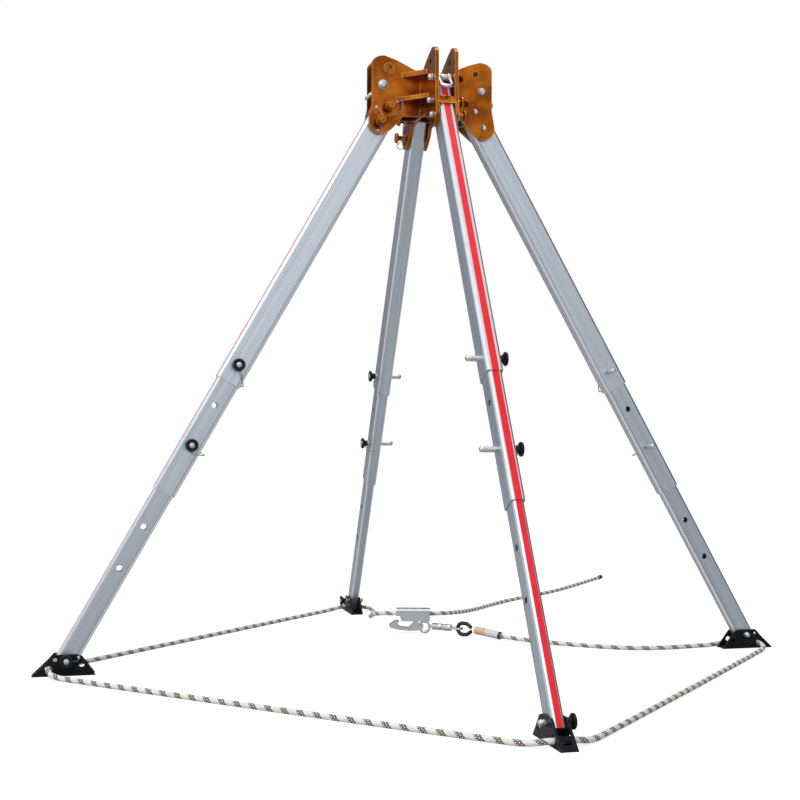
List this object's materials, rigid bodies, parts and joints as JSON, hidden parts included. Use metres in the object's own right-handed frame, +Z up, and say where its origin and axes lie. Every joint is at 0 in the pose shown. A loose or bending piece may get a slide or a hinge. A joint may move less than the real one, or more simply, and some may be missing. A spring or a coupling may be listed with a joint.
{
  "type": "rescue quadpod",
  "caption": "Rescue quadpod with an amber plate head, telescoping pinned legs, hinged steel feet, shackles and a white rope tied from foot to foot through a rope grab.",
  "frame": {"origin": "middle of the ground between the feet", "axes": "+Z up, the legs point along +X, +Y, -X and -Y"},
  "size_m": [1.8904, 2.2755, 1.3544],
  "materials": {
    "amber_metal": "anodised satin",
    "silver_metal": "bright zinc",
    "leg_alloy": "satin",
    "black_knob": "matte black knob on a steel shank",
    "black_steel": "satin black",
    "rope_white": "braided",
    "thimble_black": "matte",
    "sleeve_orange": "matte label under clear sleeve"
  },
  "bodies": {
    "head": {"head_core": "amber_metal", "head_top_plate": "amber_metal", "right_bracket": "amber_metal", "back_bracket": "amber_metal", "left_bracket": "amber_metal", "front_bracket": "amber_metal", "right_shackle_bolt": "silver_metal", "back_shackle_bolt": "silver_metal", "left_shackle_bolt": "silver_metal", "front_shackle_bolt": "silver_metal", "rope": "rope_white", "rope_end": "thimble_black", "grab_body": "silver_metal", "grab_lever": "silver_metal", "ring": "silver_metal", "link": "silver_metal", "thimble": "thimble_black", "sleeve": "sleeve_orange"},
    "right_upper_section": {"right_outer_tube": "leg_alloy"},
    "right_middle_section": {"right_middle_tube": "leg_alloy"},
    "right_lower_section": {"right_inner_tube": "leg_alloy"},
    "right_foot": {"right_foot": "black_steel"},
    "right_shackle": {"right_shackle": "silver_metal"},
    "right_angle_pin": {"right_angle_pin": "amber_metal"},
    "right_pivot_pin": {"right_pivot_pin": "amber_metal"},
    "right_upper_lock_pin": {"right_upper_lock_pin": "black_knob"},
    "right_lower_lock_pin": {"right_lower_lock_pin": "black_knob"},
    "right_foot_pin": {"right_foot_pin": "black_knob"},
    "back_upper_section": {"back_outer_tube": "leg_alloy"},
    "back_middle_section": {"back_middle_tube": "leg_alloy"},
    "back_lower_section": {"back_inner_tube": "leg_alloy"},
    "back_foot": {"back_foot": "black_steel"},
    "back_shackle": {"back_shackle": "silver_metal"},
    "back_angle_pin": {"back_angle_pin": "amber_metal"},
    "back_pivot_pin": {"back_pivot_pin": "amber_metal"},
    "back_upper_lock_pin": {"back_upper_lock_pin": "black_knob"},
    "back_lower_lock_pin": {"back_lower_lock_pin": "black_knob"},
    "back_foot_pin": {"back_foot_pin": "black_knob"},
    "left_upper_section": {"left_outer_tube": "leg_alloy"},
    "left_middle_section": {"left_middle_tube": "leg_alloy"},
    "left_lower_section": {"left_inner_tube": "leg_alloy"},
    "left_foot": {"left_foot": "black_steel"},
    "left_shackle": {"left_shackle": "silver_metal"},
    "left_angle_pin": {"left_angle_pin": "amber_metal"},
    "left_pivot_pin": {"left_pivot_pin": "amber_metal"},
    "left_upper_lock_pin": {"left_upper_lock_pin": "black_knob"},
    "left_lower_lock_pin": {"left_lower_lock_pin": "black_knob"},
    "left_foot_pin": {"left_foot_pin": "black_knob"},
    "front_upper_section": {"front_outer_tube": "leg_alloy"},
    "front_middle_section": {"front_middle_tube": "leg_alloy"},
    "front_lower_section": {"front_inner_tube": "leg_alloy"},
    "front_foot": {"front_foot": "black_steel"},
    "front_shackle": {"front_shackle": "silver_metal"},
    "front_angle_pin": {"front_angle_pin": "amber_metal"},
    "front_pivot_pin": {"front_pivot_pin": "amber_metal"},
    "front_upper_lock_pin": {"front_upper_lock_pin": "black_knob"},
    "front_lower_lock_pin": {"front_lower_lock_pin": "black_knob"},
    "front_foot_pin": {"front_foot_pin": "black_knob"}
  },
  "joints": [
    {"name": "right_leg_spread", "type": "hinge", "parent": "head", "child": "right_upper_section", "pos_m": [0.1208, 0, 1.2045], "axis": [0, -1, 0], "range_deg": [0, 20], "deforming": ["rope"]},
    {"name": "back_leg_spread", "type": "hinge", "parent": "head", "child": "back_upper_section", "pos_m": [0, 0.1208, 1.2045], "axis": [1, 0, 0], "range_deg": [0, 20]},
    {"name": "left_leg_spread", "type": "hinge", "parent": "head", "child": "left_upper_section", "pos_m": [-0.1208, 0, 1.2045], "axis": [0, 1, 0], "range_deg": [0, 20]},
    {"name": "front_leg_spread", "type": "hinge", "parent": "head", "child": "front_upper_section", "pos_m": [0, -0.1208, 1.2045], "axis": [-1, 0, 0], "range_deg": [0, 20]},
    {"name": "right_middle_slide", "type": "slide", "parent": "right_upper_section", "child": "right_middle_section", "axis": [0.4939, 0, -0.8695], "range_m": [-0.1, 0.5]},
    {"name": "back_middle_slide", "type": "slide", "parent": "back_upper_section", "child": "back_middle_section", "axis": [0, 0.4939, -0.8695], "range_m": [-0.1, 0.5]},
    {"name": "left_middle_slide", "type": "slide", "parent": "left_upper_section", "child": "left_middle_section", "axis": [-0.4939, 0, -0.8695], "range_m": [-0.1, 0.5]},
    {"name": "front_middle_slide", "type": "slide", "parent": "front_upper_section", "child": "front_middle_section", "axis": [0, -0.4939, -0.8695], "range_m": [-0.1, 0.5]},
    {"name": "right_lower_slide", "type": "slide", "parent": "right_middle_section", "child": "right_lower_section", "axis": [0.4939, 0, -0.8695], "range_m": [-0.3, 0.3]},
    {"name": "back_lower_slide", "type": "slide", "parent": "back_middle_section", "child": "back_lower_section", "axis": [0, 0.4939, -0.8695], "range_m": [-0.3, 0.3]},
    {"name": "left_lower_slide", "type": "slide", "parent": "left_middle_section", "child": "left_lower_section", "axis": [-0.4939, 0, -0.8695], "range_m": [-0.3, 0.3]},
    {"name": "front_lower_slide", "type": "slide", "parent": "front_middle_section", "child": "front_lower_section", "axis": [0, -0.4939, -0.8695], "range_m": [-0.3, 0.3]},
    {"name": "right_foot_hinge", "type": "hinge", "parent": "right_lower_section", "child": "right_foot", "pos_m": [0.78631, 0, 0.033], "axis": [0, -1, 0], "range_deg": [-25, 25]},
    {"name": "back_foot_hinge", "type": "hinge", "parent": "back_lower_section", "child": "back_foot", "pos_m": [0, 0.78631, 0.033], "axis": [1, 0, 0], "range_deg": [-25, 25]},
    {"name": "left_foot_hinge", "type": "hinge", "parent": "left_lower_section", "child": "left_foot", "pos_m": [-0.78631, 0, 0.033], "axis": [0, 1, 0], "range_deg": [-25, 25]},
    {"name": "front_foot_hinge", "type": "hinge", "parent": "front_lower_section", "child": "front_foot", "pos_m": [0, -0.78631, 0.033], "axis": [-1, 0, 0], "range_deg": [-25, 25]},
    {"name": "right_shackle_hinge", "type": "hinge", "parent": "head", "child": "right_shackle", "pos_m": [0.1148, 0, 1.2883], "axis": [0, -1, 0], "range_deg": [-20, 110]},
    {"name": "back_shackle_hinge", "type": "hinge", "parent": "head", "child": "back_shackle", "pos_m": [0, 0.1148, 1.2883], "axis": [1, 0, 0], "range_deg": [-20, 110]},
    {"name": "left_shackle_hinge", "type": "hinge", "parent": "head", "child": "left_shackle", "pos_m": [-0.1148, 0, 1.2883], "axis": [0, 1, 0], "range_deg": [-20, 110]},
    {"name": "front_shackle_hinge", "type": "hinge", "parent": "head", "child": "front_shackle", "pos_m": [0, -0.1148, 1.2883], "axis": [-1, 0, 0], "range_deg": [-20, 110]},
    {"name": "right_upper_lock_pin_pull", "type": "slide", "parent": "right_upper_section", "child": "right_upper_lock_pin", "axis": [0, 1, 0], "range_m": [0, 0.07]},
    {"name": "back_upper_lock_pin_pull", "type": "slide", "parent": "back_upper_section", "child": "back_upper_lock_pin", "axis": [-1, 0, 0], "range_m": [0, 0.07]},
    {"name": "left_upper_lock_pin_pull", "type": "slide", "parent": "left_upper_section", "child": "left_upper_lock_pin", "axis": [0, -1, 0], "range_m": [0, 0.07]},
    {"name": "front_upper_lock_pin_pull", "type": "slide", "parent": "front_upper_section", "child": "front_upper_lock_pin", "axis": [1, 0, 0], "range_m": [0, 0.07]},
    {"name": "right_lower_lock_pin_pull", "type": "slide", "parent": "right_middle_section", "child": "right_lower_lock_pin", "axis": [0, 1, 0], "range_m": [0, 0.07]},
    {"name": "back_lower_lock_pin_pull", "type": "slide", "parent": "back_middle_section", "child": "back_lower_lock_pin", "axis": [-1, 0, 0], "range_m": [0, 0.07]},
    {"name": "left_lower_lock_pin_pull", "type": "slide", "parent": "left_middle_section", "child": "left_lower_lock_pin", "axis": [0, -1, 0], "range_m": [0, 0.07]},
    {"name": "front_lower_lock_pin_pull", "type": "slide", "parent": "front_middle_section", "child": "front_lower_lock_pin", "axis": [1, 0, 0], "range_m": [0, 0.07]},
    {"name": "right_foot_pin_pull", "type": "slide", "parent": "right_foot", "child": "right_foot_pin", "axis": [0, 1, 0], "range_m": [0, 0.05]},
    {"name": "back_foot_pin_pull", "type": "slide", "parent": "back_foot", "child": "back_foot_pin", "axis": [-1, 0, 0], "range_m": [0, 0.05]},
    {"name": "left_foot_pin_pull", "type": "slide", "parent": "left_foot", "child": "left_foot_pin", "axis": [0, -1, 0], "range_m": [0, 0.05]},
    {"name": "front_foot_pin_pull", "type": "slide", "parent": "front_foot", "child": "front_foot_pin", "axis": [1, 0, 0], "range_m": [0, 0.05]},
    {"name": "right_angle_pin_pull", "type": "slide", "parent": "head", "child": "right_angle_pin", "axis": [0, 1, 0], "range_m": [0, 0.07]},
    {"name": "back_angle_pin_pull", "type": "slide", "parent": "head", "child": "back_angle_pin", "axis": [-1, 0, 0], "range_m": [0, 0.07]},
    {"name": "left_angle_pin_pull", "type": "slide", "parent": "head", "child": "left_angle_pin", "axis": [0, -1, 0], "range_m": [0, 0.07]},
    {"name": "front_angle_pin_pull", "type": "slide", "parent": "head", "child": "front_angle_pin", "axis": [1, 0, 0], "range_m": [0, 0.07]},
    {"name": "right_pivot_pin_pull", "type": "slide", "parent": "head", "child": "right_pivot_pin", "axis": [0, 1, 0], "range_m": [0, 0.07]},
    {"name": "back_pivot_pin_pull", "type": "slide", "parent": "head", "child": "back_pivot_pin", "axis": [-1, 0, 0], "range_m": [0, 0.07]},
    {"name": "left_pivot_pin_pull", "type": "slide", "parent": "head", "child": "left_pivot_pin", "axis": [0, -1, 0], "range_m": [0, 0.07]},
    {"name": "front_pivot_pin_pull", "type": "slide", "parent": "head", "child": "front_pivot_pin", "axis": [1, 0, 0], "range_m": [0, 0.07]}
  ]
}
